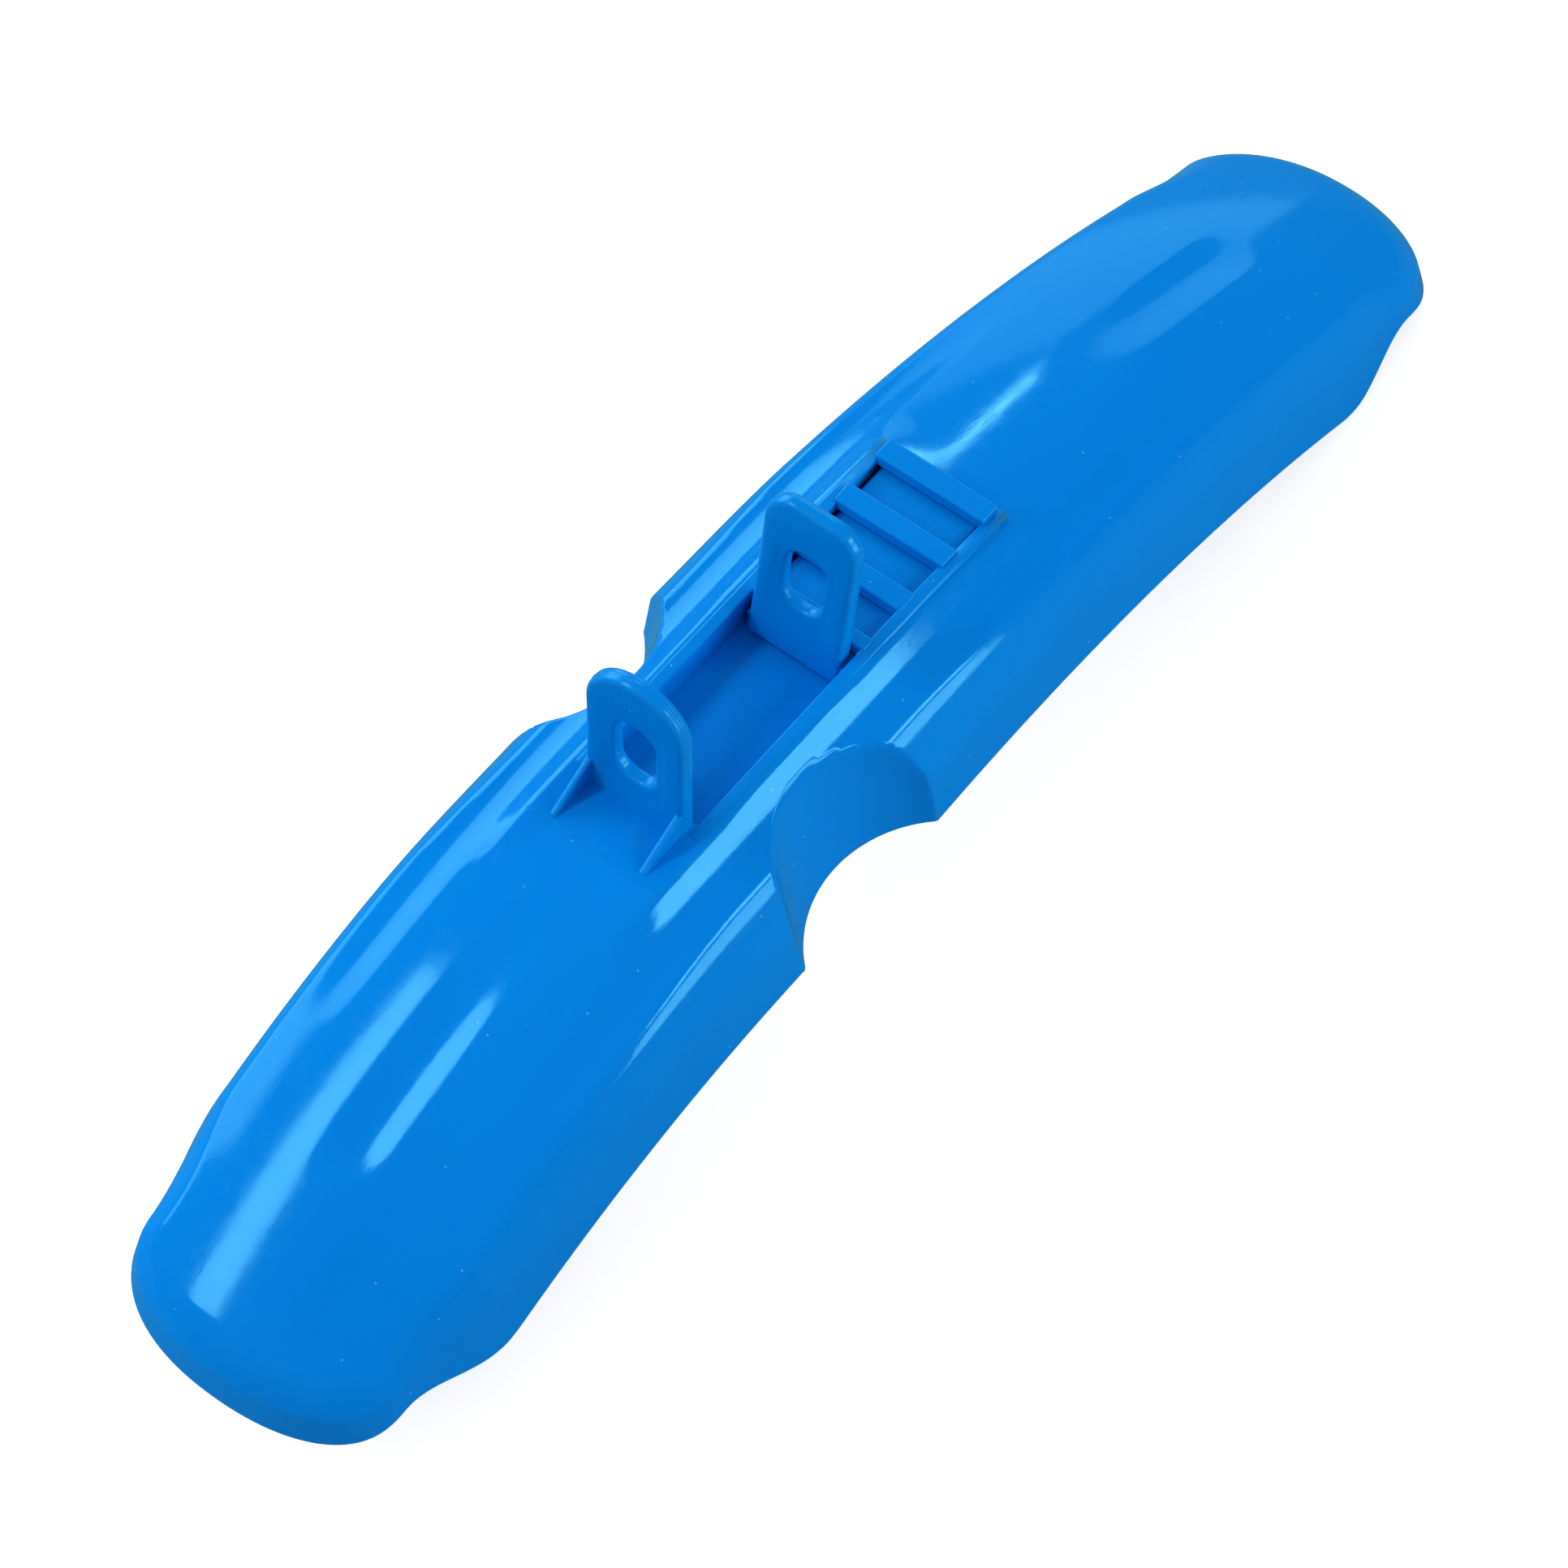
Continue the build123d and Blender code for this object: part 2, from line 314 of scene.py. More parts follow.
def top_height(x, y):
    """Height of the ribbed top above the crown line."""
    across = np.abs(y)
    bulge = across**2 / (2 * CROSS_RADIUS)
    pad = 1 - smoothstep(PAD_FRONT, PAD_FRONT + PAD_FADE, x)
    pad_rear = TROUGH_REAR + PAD_REAR_LAP
    pad = pad * smoothstep(pad_rear - PAD_REAR_FADE, pad_rear, x)
    edge = smooth_min(0.0, PAD_EDGE_SLOPE * (PAD_HALF_WIDTH - across), PAD_EDGE_ROUNDING)
    level = pad * (bulge - smooth_min(bulge, -edge, PAD_EDGE_ROUNDING))
    flute = sunk(x, across, FLUTE_SPAN, FLUTE_CENTRE, FLUTE_HALF_WIDTH, FLUTE_FADE)
    front_groove = sunk(x, y, FRONT_GROOVE_SPAN, 0.0, GROOVE_HALF_WIDTH, GROOVE_FADE)
    front_groove = front_groove * smoothstep(*FRONT_GROOVE_RISE, x)
    rear_groove = sunk(x, y, REAR_GROOVE_SPAN, 0.0, GROOVE_HALF_WIDTH, GROOVE_FADE)
    rear_groove = rear_groove * (1 - smoothstep(*REAR_GROOVE_RISE, x))
    return -bulge + level - FLUTE_DEPTH * flute - GROOVE_DEPTH * (front_groove + rear_groove)


POINTS_AT_ONCE = 4000


def outline_half():
    """Points along the left half of the rim outline, from the rear tip to the front tip, scoops left out."""
    swing = np.linspace(0, math.pi / 2, 90)
    front_x = FRONT_NECK + (FRONT_TIP - FRONT_NECK) * np.sin(swing)
    rear_x = REAR_NECK - (REAR_NECK - REAR_TIP) * np.sin(swing[::-1])
    body_x = np.linspace(REAR_NECK, FRONT_NECK, 260)[1:-1]
    x = np.concatenate([rear_x, body_x, front_x])
    return np.stack([x, half_width(x)], 1)


def distance_inside(x, y):
    """Distance from each point to the rim outline, positive inside it."""
    across = np.abs(y)
    width = half_width(np.clip(x, REAR_TIP, FRONT_TIP))
    result = np.full(x.shape, DEEP_INSIDE)
    near = (across > width - NEAR_SIDE) | (x > FRONT_NECK - NEAR_NECK) | (x < REAR_NECK + NEAR_NECK)
    points = np.stack([x[near], across[near]], 1)
    outline = outline_half()
    start, step = outline[:-1], np.diff(outline, axis=0)
    length = (step**2).sum(1)
    found = []
    for first in range(0, len(points), POINTS_AT_ONCE):
        part = points[first : first + POINTS_AT_ONCE]
        offset = part[:, None, :] - start[None]
        share = np.clip((offset * step).sum(2) / length, 0, 1)
        gap = offset - share[..., None] * step
        found.extend(np.sqrt((gap**2).sum(2).min(1)))
    outside = (across > width) | (x > FRONT_TIP) | (x < REAR_TIP)
    result[near] = found
    return np.where(outside, -result, result)


def skin_height(x, y):
    """Height of the skin's outer surface."""
    inside = distance_inside(x, y)
    front, rear = towards_tips(x)
    tips = front + rear
    crest = crown(x)
    crease = crest - crease_depth(x, y)
    rim = crest - rim_depth(x, y)
    band = BAND_LEAN + (TIP_BAND_LEAN - BAND_LEAN) * tips
    fall = SHOULDER_FALL + (TIP_SHOULDER_FALL - SHOULDER_FALL) * tips
    top = crest + top_height(x, y)
    by_scoop = 1 - smoothstep(*SCOOP_SOFT_SPAN, np.abs(x))
    softness = SHOULDER_SOFTNESS + SCOOP_SOFTENING * by_scoop - TIP_SHARPENING * tips
    shoulder = smooth_min(top, crease + fall * (inside - band), softness)
    skirt = smooth_min(shoulder, rim + (crease - rim) * inside / band, CREASE_SOFTNESS)
    return smooth_min(skirt, scoop_height(x, y), SCOOP_EDGE_SOFTNESS)


# ---------------------------------------------------------------- grid of the skin

# Distances of the grid's rows from the rim, and positions of its rows across the pad
BORDER_STEPS = [7, 6.3, 5.6, 5.0, 4.5, 4.05, 3.6, 3.2, 2.8, 2.45, 2.1, 1.8, 1.5, 1.2, 0.9, 0.6, 0.3, 0]
PAD_ROWS = [1, 2, 3, 4, 5, 6, 7, 8, 9, 9.8, CHANNEL_HALF_WIDTH, 11.2, 12, 12.7, 13.1]
SLOPE_ROWS = 12

# The body of the grid runs between the two tongues' patches, and is dense beside the scoops
REAR_PATCH = REAR_NECK + 8
FRONT_PATCH = FRONT_NECK - 7
DENSE_REAR = -29.0
DENSE_FRONT = 23.0

# Share of a rounded tip's length at which its side turns into its end
TIP_CORNER = 0.72


def rows_across(width):
    """Positions across the skin at a station of that half-width, from right to left, dense near the rim."""
    inner = PAD_ROWS[-1]
    outer = width - BORDER_STEPS[0]
    slope = [inner + (outer - inner) * step / SLOPE_ROWS for step in range(1, SLOPE_ROWS)]
    left = PAD_ROWS + slope + [width - step for step in BORDER_STEPS]
    return np.array([-y for y in reversed(left)] + [0.0] + left)


def stations():
    """Positions along the body, dense at the scoops, with one exactly at each end of the channel."""
    rear = np.linspace(REAR_PATCH, CHANNEL_REAR, 70)
    mid_rear = np.linspace(CHANNEL_REAR, DENSE_REAR, 22)[1:]
    scoop = np.linspace(DENSE_REAR, CHANNEL_FRONT, 92)[1:]
    mid_front = np.linspace(CHANNEL_FRONT, DENSE_FRONT, 12)[1:]
    front = np.linspace(DENSE_FRONT, FRONT_PATCH, 62)[1:]
    return np.concatenate([rear, mid_rear, scoop, mid_front, front])


def points_along(curve, shares):
    """Points of a curve at shares of its length, from 0 at its start to 1 at its end."""
    travel = np.concatenate([[0], np.cumsum(np.hypot(*np.diff(curve, axis=0).T))])
    travel = travel / travel[-1]
    return np.stack([np.interp(shares, travel, curve[:, axis]) for axis in (0, 1)], 1)


def tip_side(patch_x, tip, neck):
    """Left side of a tongue, from the body's last station to the corner of the tip."""
    swing = np.linspace(0, math.asin(TIP_CORNER), 60)
    cap_x = neck + (tip - neck) * np.sin(swing)
    x = np.concatenate([np.linspace(patch_x, neck, 30)[:-1], cap_x])
    return np.stack([x, half_width(x)], 1)


def tip_end(tip, neck, tongue, power):
    """End of a tongue, from its right corner over the tip to its left corner."""
    swing = np.linspace(math.asin(TIP_CORNER), math.pi / 2, 60)
    x = neck + (tip - neck) * np.sin(swing)
    quarter = np.stack([x, tongue * (1 - np.sin(swing) ** power) ** (1 / power)], 1)
    return np.concatenate([quarter * [1, -1], quarter[::-1][1:]])


def tip_patch(patch_x, tip, neck, tongue, power):
    """Grid from the body's last station to the rounded tip, blended between its four edges."""
    width = float(rim_half_width(np.array(patch_x)))
    rows = rows_across(width)
    base = np.stack([np.full_like(rows, patch_x), rows], 1)
    length = abs(tip - patch_x)
    steps = np.linspace(0, 1 - BORDER_STEPS[0] / length, 14)[1:]
    along = np.concatenate([steps, [1 - step / length for step in BORDER_STEPS[1:]]])
    across = (rows + width) / (2 * width)
    end = points_along(tip_end(tip, neck, tongue, power), across)
    left = points_along(tip_side(patch_x, tip, neck), along)
    right = left * [1, -1]
    t = along[:, None, None]
    s = across[None, :, None]
    sides = (1 - s) * right[:, None] + s * left[:, None]
    ends = (1 - t) * base[None] + t * end[None]
    base_corners = (1 - s) * base[0] + s * base[-1]
    end_corners = (1 - s) * end[0] + s * end[-1]
    return sides + ends - (1 - t) * base_corners - t * end_corners


def skin_grid():
    """Plan positions of the whole skin, from the rear tip to the front tip, as (along, across, 2)."""
    body_x = stations()
    body = []
    for x in body_x:
        rows = rows_across(float(rim_half_width(np.array(x))))
        body.append(np.stack([np.full_like(rows, x), rows], 1))
    rear = tip_patch(body_x[0], REAR_TIP, REAR_NECK, REAR_TONGUE, REAR_POWER)
    front = tip_patch(body_x[-1], FRONT_TIP, FRONT_NECK, FRONT_TONGUE, FRONT_POWER)
    return np.concatenate([rear[::-1], np.array(body), front])


def skin_normals(x, y):
    """Outward unit normals of the skin, from its slope."""
    step = 0.04
    slope_x = (skin_height(x + step, y) - skin_height(x - step, y)) / (2 * step)
    slope_y = (skin_height(x, y + step) - skin_height(x, y - step)) / (2 * step)
    normals = np.stack([-slope_x, -slope_y, np.ones_like(slope_x)], -1)
    return normals / np.linalg.norm(normals, axis=-1, keepdims=True)


# ---------------------------------------------------------------- mesh helpers


def new_object(name, mesh):
    piece = bpy.data.objects.new(name, mesh)
    bpy.context.scene.collection.objects.link(piece)
    return piece


def mesh_piece(name, points, faces, normals=None):
    """Smooth-shaded object from points in millimetres, with its own normals if given."""
    mesh = bpy.data.meshes.new(name)
    mesh.from_pydata((np.asarray(points) * MM).tolist(), [], faces)
    mesh.shade_smooth()
    if normals is not None:
        mesh.normals_split_custom_set_from_vertices(np.asarray(normals).tolist())
    mesh.update()
    return new_object(name, mesh)


def prism(shape, outline, axis, low, high, edge):
    """Adds to a bmesh an outline swept along axis (0 for x, 1 for y), its edges rounded by edge."""
    loops = []
    for level in (low, high):
        corners = [Vector(p[:axis] + (level,) + p[axis:]) * MM for p in outline]
        loops.append([shape.verts.new(corner) for corner in corners])
    count = len(outline)
    faces = [shape.faces.new(loops[0][::-1]), shape.faces.new(loops[1])]
    for k in range(count):
        after = (k + 1) % count
        faces.append(shape.faces.new([loops[0][k], loops[0][after], loops[1][after], loops[1][k]]))
    bmesh.ops.recalc_face_normals(shape, faces=faces)
    edges = {e for f in faces for e in f.edges if e.calc_face_angle(0) > 0.4}
    bmesh.ops.bevel(
        shape,
        geom=list(edges),
        offset=edge * MM,
        segments=3,
        profile=0.5,
        affect="EDGES",
        clamp_overlap=True,
    )


def block(shape, x, y, z, edge):
    """Adds a box to a bmesh, given as ranges, with rounded edges."""
    outline = [(y[0], z[0]), (y[1], z[0]), (y[1], z[1]), (y[0], z[1])]
    prism(shape, outline, 0, x[0], x[1], edge)


def bmesh_piece(name, shape):
    mesh = bpy.data.meshes.new(name)
    shape.to_mesh(mesh)
    shape.free()
    mesh.shade_smooth()
    piece = new_object(name, mesh)
    weighted = piece.modifiers.new("Weighted normals", "WEIGHTED_NORMAL")
    weighted.keep_sharp = True
    return piece


# ---------------------------------------------------------------- guard

LIP_ROWS = 5
LIP_DROP = 0.35


def skin_quads(x, y):
    """Point numbers of the grid's quads, leaving out those over the channel."""
    index = np.arange(x.size).reshape(x.shape)
    middle_x = (x[:-1, :-1] + x[1:, :-1]) / 2
    middle_y = (y[:-1, :-1] + y[:-1, 1:]) / 2
    in_length = (middle_x > CHANNEL_REAR) & (middle_x < CHANNEL_FRONT)
    in_channel = in_length & (np.abs(middle_y) < CHANNEL_HALF_WIDTH)
    quads = np.stack([index[:-1, :-1], index[1:, :-1], index[1:, 1:], index[:-1, 1:]], -1)
    return quads[~in_channel].tolist()


def border_loop(along, across):
    """Point numbers of the grid's border, in order round it."""
    index = np.arange(along * across).reshape(along, across)
    return np.concatenate([index[:, 0], index[-1, 1:], index[-2::-1, -1], index[0, -2:0:-1]])


def rim_lip(outer, inner, normals):
    """Rows of points and of normals for a half-round lip from the outer rim to the inner one."""
    outward = normals * [1, 1, 0]
    outward /= np.linalg.norm(outward, axis=1, keepdims=True)
    down = np.array([0, 0, -1.0])
    points, shades = [], []
    for turn in np.linspace(0, math.pi, LIP_ROWS):
        share = (1 - math.cos(turn)) / 2
        points.append(outer * (1 - share) + inner * share + down * LIP_DROP * math.sin(turn))
        shades.append(outward * math.cos(turn) + down * math.sin(turn))
    return points, shades


def lip_quads(first, around):
    """Point numbers of the lip's quads. Its rows start at point first, with around points in each."""
    faces = []
    for row in range(LIP_ROWS - 1):
        start = first + row * around
        for k in range(around):
            after = (k + 1) % around
            faces.append([start + k, start + around + k, start + around + after, start + after])
    return faces


def guard_skin():
    """Outer skin, the same skin offset inwards, and a rounded lip that joins them along the rim."""
    plan = skin_grid()
    x, y = plan[..., 0], plan[..., 1]
    outer = np.stack([x, y, skin_height(x, y)], -1).reshape(-1, 3)
    normals = skin_normals(x, y).reshape(-1, 3)
    inner = outer - WALL * normals
    border = border_loop(*x.shape)
    inner[border, 2] = outer[border, 2]
    lip_points, lip_shades = rim_lip(outer[border], inner[border], normals[border])
    count = len(outer)
    faces = []
    for quad in skin_quads(x, y):
        faces.append(quad)
        faces.append([corner + count for corner in reversed(quad)])
    faces += lip_quads(2 * count, len(border))
    points = np.concatenate([outer, inner, *lip_points])
    shades = np.concatenate([normals, -normals, *lip_shades])
    return mesh_piece("guard_skin", points, faces, shades)


def ledge_top(x):
    """Height of the ledges beside the channel, which fall away a little beside the rear bars."""
    return LEDGE_TOP - LEDGE_FALL * max(0.0, (LEDGE_FALL_START - x) / (LEDGE_FALL_START - TROUGH_REAR))


def ledge(shape, side):
    """Adds one ledge to a bmesh: a wall of the channel with a lip inside and a rounded edge outside."""
    bottom = -CHANNEL_DEPTH - CHANNEL_FLOOR
    lip = CHANNEL_HALF_WIDTH - LIP
    outer = CHANNEL_HALF_WIDTH + LEDGE_WIDTH
    rows = []
    for x in (TROUGH_REAR, LEDGE_FALL_START - 8, LEDGE_FALL_START, LEDGE_FALL_START + 8, TROUGH_FRONT):
        top = ledge_top(x)
        profile = [
            (CHANNEL_HALF_WIDTH, bottom),
            (CHANNEL_HALF_WIDTH, -BAR_HEIGHT - 0.3),
            (lip, -BAR_HEIGHT),
            (lip, top - 0.3),
            (lip + 0.09, top - 0.09),
            (lip + 0.3, top),
            (outer - 0.8, top),
            (outer - 0.4, top - 0.1),
            (outer - 0.1, top - 0.4),
            (outer, top - 0.8),
            (outer, bottom),
        ]
        rows.append([shape.verts.new((x * MM, side * y * MM, z * MM)) for y, z in profile])
    faces = [shape.faces.new(rows[0]), shape.faces.new(rows[-1][::-1])]
    for first, second in zip(rows, rows[1:]):
        for k in range(len(first)):
            after = (k + 1) % len(first)
            faces.append(shape.faces.new([first[k], second[k], second[after], first[after]]))
    bmesh.ops.recalc_face_normals(shape, faces=faces)


def guard_channel():
    """Trough under the bars: two ledges, a floor and two end walls."""
    shape = bmesh.new()
    outer = CHANNEL_HALF_WIDTH + LEDGE_WIDTH
    bottom = -CHANNEL_DEPTH - CHANNEL_FLOOR
    for side in (-1, 1):
        ledge(shape, side)
    block(shape, (TROUGH_REAR, TROUGH_FRONT), (-outer, outer), (bottom, -CHANNEL_DEPTH), 0.3)
    block(shape, (CHANNEL_FRONT, TROUGH_FRONT), (-outer, outer), (bottom, -0.3), 0.3)
    block(shape, (TROUGH_REAR, CHANNEL_REAR), (-outer, outer), (bottom, -BAR_HEIGHT), 0.2)
    return bmesh_piece("guard_channel", shape)


def keeper_bar(number):
    """One bar across the channel, with a little draft. The last one closes the channel's rear end."""
    width = BAR_WIDTH if number else FIRST_BAR_WIDTH
    rear = FIRST_BAR_REAR - number * BAR_PITCH
    draft = 0.2
    shape = bmesh.new()
    outline = [
        (rear, -BAR_HEIGHT),
        (rear + width, -BAR_HEIGHT),
        (rear + width - draft, BAR_TOP),
        (rear + draft, BAR_TOP),
    ]
    prism(shape, outline, 1, -BAR_HALF_LENGTH, BAR_HALF_LENGTH, 0.35)
    return bmesh_piece(f"keeper_bar_{number + 1}", shape)


def gusset(name, side):
    shape = bmesh.new()
    back = FIXED_LUG_FACE + LUG_THICKNESS
    toe = back + GUSSET_LENGTH
    toe_height = float(crown(np.array(toe)))
    root = -1.5
    inside_lug = back - 1
    outline = [
        (inside_lug, root),
        (toe, root),
        (toe, toe_height + 0.25),
        (back, GUSSET_HEIGHT),
        (inside_lug, GUSSET_HEIGHT),
    ]
    middle = side * GUSSET_SPACING / 2
    prism(shape, outline, 1, middle - GUSSET_THICKNESS / 2, middle + GUSSET_THICKNESS / 2, 0.35)
    return bmesh_piece(name, shape)


# ---------------------------------------------------------------- lugs

LOOP_POINTS = 144


def even_points(curve, count):
    """count points spaced evenly round a closed curve."""
    closed = np.concatenate([curve, curve[:1]])
    return points_along(closed, np.linspace(0, 1, count, endpoint=False))


def arc(centre, radius, start, stop, count=14):
    angles = np.radians(np.linspace(start, stop, count))
    return np.stack([centre[0] + radius * np.cos(angles), centre[1] + radius * np.sin(angles)], 1)


def lug_outline(side, foot, height, corner):
    """Outline of a lug from the middle of its top, clockwise: (across, up)."""
    reach = side - corner
    return np.concatenate(
        [
            [(0, height)],
            arc((reach, height - corner), corner, 90, 0, 24),
            [(side, foot), (0, foot), (-side, foot)],
            arc((-reach, height - corner), corner, 180, 90, 24),
        ]
    )


def slot_outline(centre, half_height):
    """Outline of a slot with rounded corners from the middle of its top, clockwise: (across, up)."""
    side = SLOT_HALF_WIDTH - SLOT_CORNER
    top, bottom = centre + half_height - SLOT_CORNER, centre - half_height + SLOT_CORNER
    return np.concatenate(
        [
            [(0, centre + half_height)],
            arc((side, top), SLOT_CORNER, 90, 0, 16),
            arc((side, bottom), SLOT_CORNER, 0, -90, 16),
            arc((-side, bottom), SLOT_CORNER, 270, 180, 16),
            arc((-side, top), SLOT_CORNER, 180, 90, 16),
        ]
    )


def lug_face_loops(outer, inner):
    """Loops over one face of a lug, from its rounded edge over a soft dish to the slot: (points, depth)."""
    inward = inner - outer
    direction = inward / np.linalg.norm(inward, axis=1, keepdims=True)
    loops = []
    for turn in np.linspace(0, math.pi / 2, 6):
        set_in = LUG_ROUNDING * (1 - math.cos(turn))
        loops.append((outer + direction * set_in, LUG_ROUNDING * (1 - math.sin(turn))))
    for share in (0.25, 0.45, 0.6, 0.7, 0.78, 0.85):
        loops.append((outer + inward * share, DISH_DEPTH * float(smoothstep(0.45, 0.85, share))))
    for turn in np.linspace(0, math.pi / 2, 5):
        back_off = SLOT_ROUNDING * (1 - math.sin(turn))
        loops.append((inner - direction * back_off, DISH_DEPTH + SLOT_ROUNDING * (1 - math.cos(turn))))
    return loops


def lug(name, side, foot, height, corner, slot_centre, slot_height, place):
    """Lug with rounded edges, a soft dished rim round its slot and a mould line at half thickness.

    side is half its width. place turns (across, up, depth) into (x, y, z); depth runs from 0 at the
    gap's face to the thickness."""
    outer = even_points(lug_outline(side, foot, height, corner), LOOP_POINTS)
    inner = even_points(slot_outline(slot_centre, slot_height / 2), LOOP_POINTS)
    half = LUG_THICKNESS / 2
    outward = (outer - inner) / np.linalg.norm(outer - inner, axis=1, keepdims=True)
    mould_line = outer + outward * MOULD_LINE_HEIGHT
    face = lug_face_loops(outer, inner)
    # From the mould line over the near face into the slot, then over the far face back again
    loops = [(mould_line, half), (outer, half - MOULD_LINE_REACH)]
    loops += face
    loops += [(inner, half)]
    loops += [(ring, LUG_THICKNESS - depth) for ring, depth in reversed(face)]
    loops += [(outer, half + MOULD_LINE_REACH)]
    points = [place(across, up, depth) for ring, depth in loops for across, up in ring]
    faces = []
    for row in range(len(loops)):
        this, following = row * LOOP_POINTS, (row + 1) % len(loops) * LOOP_POINTS
        for k in range(LOOP_POINTS):
            after = (k + 1) % LOOP_POINTS
            faces.append([this + k, this + after, following + after, following + k])
    piece = mesh_piece(name, points, faces)
    shape = bmesh.new()
    shape.from_mesh(piece.data)
    bmesh.ops.recalc_face_normals(shape, faces=shape.faces)
    shape.to_mesh(piece.data)
    shape.free()
    piece.data.shade_smooth()
    return piece


def place_fixed(across, up, depth):
    """Stands the fixed lug upright, its front face spreading a little where it meets the guard."""
    at_front_face = depth > 0.75 * LUG_THICKNESS
    nearness = max(0.0, 1 - max(up, 0.0) / FOOT_FLARE_HEIGHT)
    flare = FOOT_FLARE * nearness**2 if at_front_face else 0.0
    return (FIXED_LUG_FACE + depth + flare, across, up)


def place_sliding(across, up, depth):
    """Leans the sliding lug back, its foot cut level just above the channel's floor."""
    back = up * math.sin(SLIDING_LEAN) + depth * math.cos(SLIDING_LEAN)
    height = up * math.cos(SLIDING_LEAN) - depth * math.sin(SLIDING_LEAN)
    return (SLIDING_LUG_FACE - back, across, max(height, -CHANNEL_DEPTH + RUNNING_GAP))


def slider_tongue():
    """Plate under the bars on two side rails."""
    top = -BAR_HEIGHT - RUNNING_GAP
    rear = CHANNEL_REAR + RUNNING_GAP
    length = (rear, SLIDING_LUG_FACE)
    shape = bmesh.new()
    block(shape, length, (-TONGUE_HALF_WIDTH, TONGUE_HALF_WIDTH), (top - TONGUE_PLATE, top), 0.3)
    for side in (-1, 1):
        rail = sorted((side * TONGUE_HALF_WIDTH, side * (TONGUE_HALF_WIDTH - TONGUE_RAIL)))
        block(shape, length, rail, (-CHANNEL_DEPTH + RUNNING_GAP, top - 0.5), 0.3)
    return bmesh_piece("slider_tongue", shape)


# ---------------------------------------------------------------- small marks


def surface_strip(name, path, width, height):
    """Thin raised line over the skin along a path of (x, y) points."""
    path = np.array(path, float)
    heading = np.gradient(path, axis=0)
    heading /= np.linalg.norm(heading, axis=1, keepdims=True)
    side = np.stack([-heading[:, 1], heading[:, 0]], 1)
    rows = []
    for offset, lift in ((-1, -0.1), (-0.5, 0.8), (0, 1), (0.5, 0.8), (1, -0.1)):
        plan = path + side * offset * width / 2
        level = skin_height(plan[:, 0], plan[:, 1]) + lift * height
        rows.append(np.concatenate([plan, level[:, None]], 1))
    points = np.concatenate(rows)
    count = len(path)
    faces = []
    for row in range(len(rows) - 1):
        for k in range(count - 1):
            start = row * count + k
            faces.append([start, start + 1, start + count + 1, start + count])
    return mesh_piece(name, points, faces)


# ---------------------------------------------------------------- materials

DUST_COLOUR = (0.12, 0.36, 0.75, 1)
GLOSS_TINT = (0.2, 0.85, 1.0, 1)
GLOSS_IOR = 1.42


def add_node(tree, kind, values, sources):
    """Adds a node, sets inputs to values and links others from sources, all by input name or number."""
    node = tree.nodes.new(kind)
    for key, value in values.items():
        node.inputs[key].default_value = value
    for key, source in sources.items():
        tree.links.new(source, node.inputs[key])
    return node


def noise(tree, scale, detail, vector):
    values = {"Scale": scale, "Detail": detail}
    return add_node(tree, "ShaderNodeTexNoise", values, {"Vector": vector}).outputs["Fac"]


def stretched(tree, vector, scale):
    return add_node(tree, "ShaderNodeMapping", {"Scale": scale}, {"Vector": vector}).outputs["Vector"]


def remap(tree, value, low, high, to_low, to_high):
    values = {"From Min": low, "From Max": high, "To Min": to_low, "To Max": to_high}
    return add_node(tree, "ShaderNodeMapRange", values, {"Value": value}).outputs["Result"]


def add(tree, first, second):
    node = add_node(tree, "ShaderNodeMath", {}, {0: first, 1: second})
    node.operation = "ADD"
    return node.outputs[0]


def mix_colours(tree, share):
    """Colour mix node: inputs 6 and 7 are its colours, output 2 is the result."""
    node = tree.nodes.new("ShaderNodeMix")
    node.data_type = "RGBA"
    tree.links.new(share, node.inputs[0])
    return node


def new_material(name):
    material = bpy.data.materials.new(name)
    material.use_nodes = True
    return material


def pigment(tree, where, colour, deep_colour):
    """Colour that varies a little along the flow of the plastic, with specks of dust on it."""
    flow = noise(tree, 28, 3, stretched(tree, where, (0.35, 1, 1)))
    blue = mix_colours(tree, remap(tree, flow, 0.35, 0.65, 0, 1))
    blue.inputs[6].default_value = (*colour, 1)
    blue.inputs[7].default_value = (*deep_colour, 1)
    dust = add_node(tree, "ShaderNodeTexVoronoi", {"Scale": 210}, {"Vector": where})
    dusted = mix_colours(tree, remap(tree, dust.outputs["Distance"], 0.045, 0.02, 0, 1))
    dusted.inputs[7].default_value = DUST_COLOUR
    tree.links.new(blue.outputs[2], dusted.inputs[6])
    return dusted.outputs[2]


def scratched_roughness(tree, where, roughness):
    """Roughness with a fine mottle and scratches that run along the guard."""
    mottled = remap(tree, noise(tree, 420, 4, where), 0.4, 0.75, roughness, roughness + 0.06)
    lines = noise(tree, 60, 2, stretched(tree, where, (1, 26, 26)))
    scratches = remap(tree, lines, 0.66, 0.72, 0, 0.12)
    return add(tree, mottled, scratches)


def moulded_bump(tree, where, grain):
    """Normal with orange peel and a finer grain."""
    peel = noise(tree, 260, 2, where)
    fine = remap(tree, noise(tree, 2600, 2, where), 0, 1, 0, grain)
    values = {"Strength": 0.25, "Distance": 0.00005}
    return add_node(tree, "ShaderNodeBump", values, {"Height": add(tree, peel, fine)}).outputs["Normal"]


